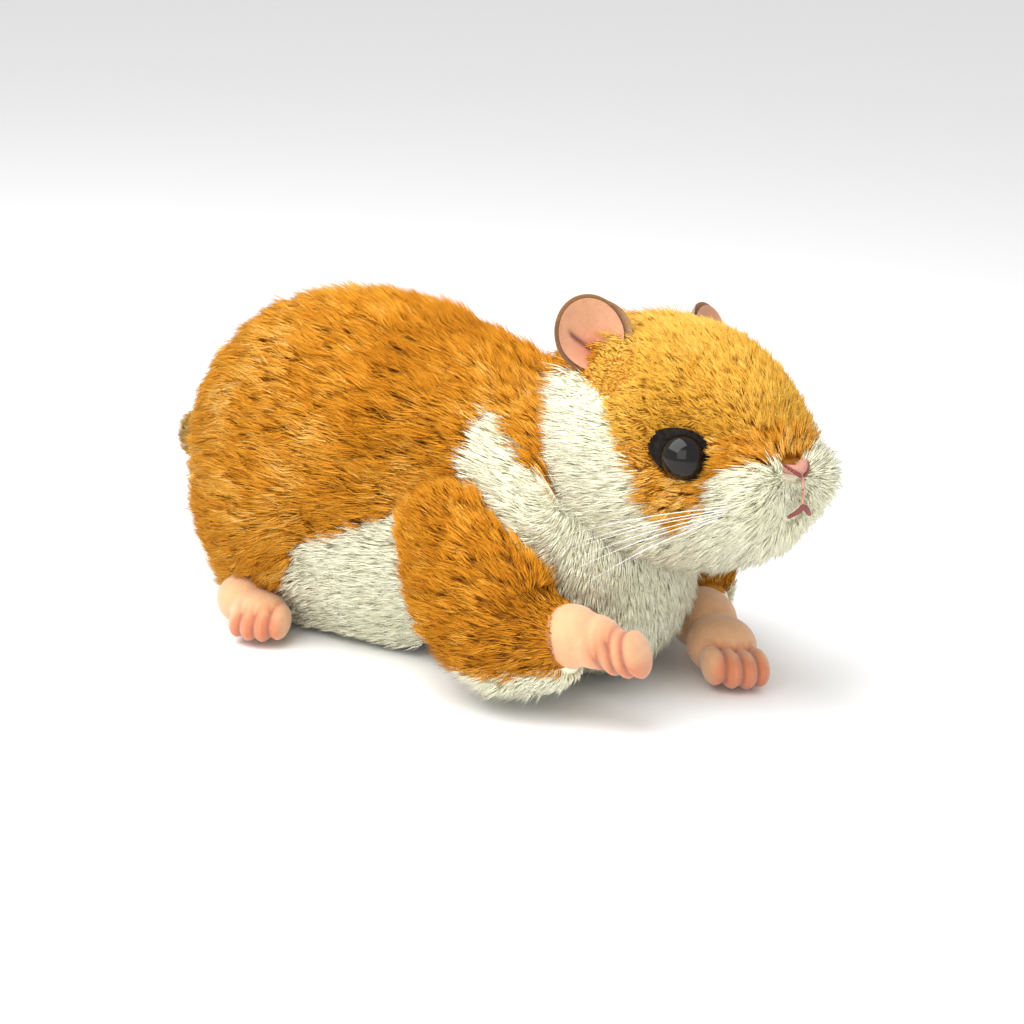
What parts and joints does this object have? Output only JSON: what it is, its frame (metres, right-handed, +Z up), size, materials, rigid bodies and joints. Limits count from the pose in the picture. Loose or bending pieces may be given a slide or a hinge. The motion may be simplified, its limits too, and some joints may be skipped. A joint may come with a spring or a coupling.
{
  "type": "interactive plush pet",
  "caption": "Soft plush hamster lying on its belly, with a battery-driven nodding head, a back button, a speaker and a belly battery compartment.",
  "frame": {"origin": "middle of the animal's footprint box, on the surface it lies on", "axes": "+Z up; the animal faces -Y and +X is its left side"},
  "size_m": [0.1223, 0.2174, 0.1134],
  "materials": {
    "gold_plush": "long soft pile",
    "white_plush": "soft pile",
    "filling": "loose polyester fibre",
    "felt": "short velour with airbrushed shading",
    "ear_suede": "short suede nap",
    "eye_gloss": "polished",
    "thread": "stitched floss",
    "nylon": "clear monofilament",
    "housing": "fine moulded texture",
    "dark_plastic": "satin",
    "acetal": "smooth moulded",
    "board": "lacquered glass fibre",
    "steel": "bright plated",
    "cell_jacket": "shrink sleeve",
    "washer_plastic": "plain",
    "lead_jacket": "smooth jacket"
  },
  "bodies": {
    "body": {"back_cover": "gold_plush", "foreleg_right": "gold_plush", "foreleg_left": "gold_plush", "tail": "gold_plush", "belly_cover": "white_plush", "body_stuffing": "filling", "forepaw_right": "felt", "forepaw_left": "felt", "hind_foot_right": "felt", "hind_foot_left": "felt", "core_housing_lower": "housing", "core_housing_upper": "housing", "neck_bracket": "housing", "power_switch": "dark_plastic", "speaker": "dark_plastic", "circuit_board": "board", "button_board": "board", "housing_screw_1": "steel", "housing_screw_2": "steel", "housing_screw_3": "steel", "housing_screw_4": "steel", "battery_spring_1": "steel", "battery_spring_2": "steel", "battery_spring_3": "steel", "battery_contact_front": "steel", "battery_contact_rear": "steel", "microphone": "steel", "back_button_spring": "steel", "neck_shaft": "steel", "idler_axle": "steel", "drive_motor": "steel", "battery_cell_1": "cell_jacket", "battery_cell_2": "cell_jacket", "battery_cell_3": "cell_jacket", "motor_leads": "lead_jacket"},
    "head": {"crown_cover": "gold_plush", "face_cover": "white_plush", "head_stuffing": "filling", "skull_shell": "housing", "neck_arm": "acetal", "eye_right": "eye_gloss", "eye_left": "eye_gloss", "eye_washer_right": "washer_plastic", "eye_washer_left": "washer_plastic", "ear_lining_right": "felt", "ear_lining_left": "felt", "ear_back_right": "ear_suede", "ear_back_left": "ear_suede", "nose": "thread", "mouth_stitch": "thread", "whiskers_right": "nylon", "whiskers_left": "nylon"},
    "idler": {"idler_gear": "acetal"},
    "motor_rotor": {"motor_shaft": "steel", "motor_pinion": "acetal"},
    "back_button": {"back_button": "dark_plastic"},
    "power_switch_slider": {"power_switch_slider": "dark_plastic"},
    "battery_door": {"battery_door": "housing"},
    "battery_door_screw": {"battery_door_screw": "steel"}
  },
  "joints": [
    {"name": "head_nod", "type": "hinge", "parent": "body", "child": "head", "pos_m": [-0.0003, -0.0362, 0.06], "axis": [-1, 0, 0], "range_deg": [-6, 10]},
    {"name": "idler_spin", "type": "hinge", "parent": "body", "child": "idler", "pos_m": [-0.0003, -0.01752, 0.04692], "axis": [-1, 0, 0], "range_deg": [-38, 23]},
    {"name": "motor_spin", "type": "hinge", "parent": "body", "child": "motor_rotor", "pos_m": [-0.0003, -0.00372, 0.04692], "axis": [-1, 0, 0], "range_deg": [-82, 136]},
    {"name": "back_button_press", "type": "slide", "parent": "body", "child": "back_button", "axis": [0, 0, -1], "range_m": [0, 0.0015], "stiffness_N_per_m": 400, "springref_m": -0.0005, "deforming": ["back_button_spring"]},
    {"name": "power_switch_slide", "type": "slide", "parent": "body", "child": "power_switch_slider", "axis": [0, 1, 0], "range_m": [0, 0.003]},
    {"name": "battery_door_lift", "type": "slide", "parent": "body", "child": "battery_door", "axis": [0, 0, -1], "range_m": [0, 0.02]},
    {"name": "door_screw_turn", "type": "hinge", "parent": "battery_door", "child": "battery_door_screw", "pos_m": [-0.0003, 0.0623, 0.0042], "axis": [0, 0, -1], "range_deg": [0, 1440]}
  ],
  "couplings": [
    {"joint": "idler_spin", "follows": "head_nod", "ratio": -3.75},
    {"joint": "motor_spin", "follows": "head_nod", "ratio": 13.5}
  ]
}
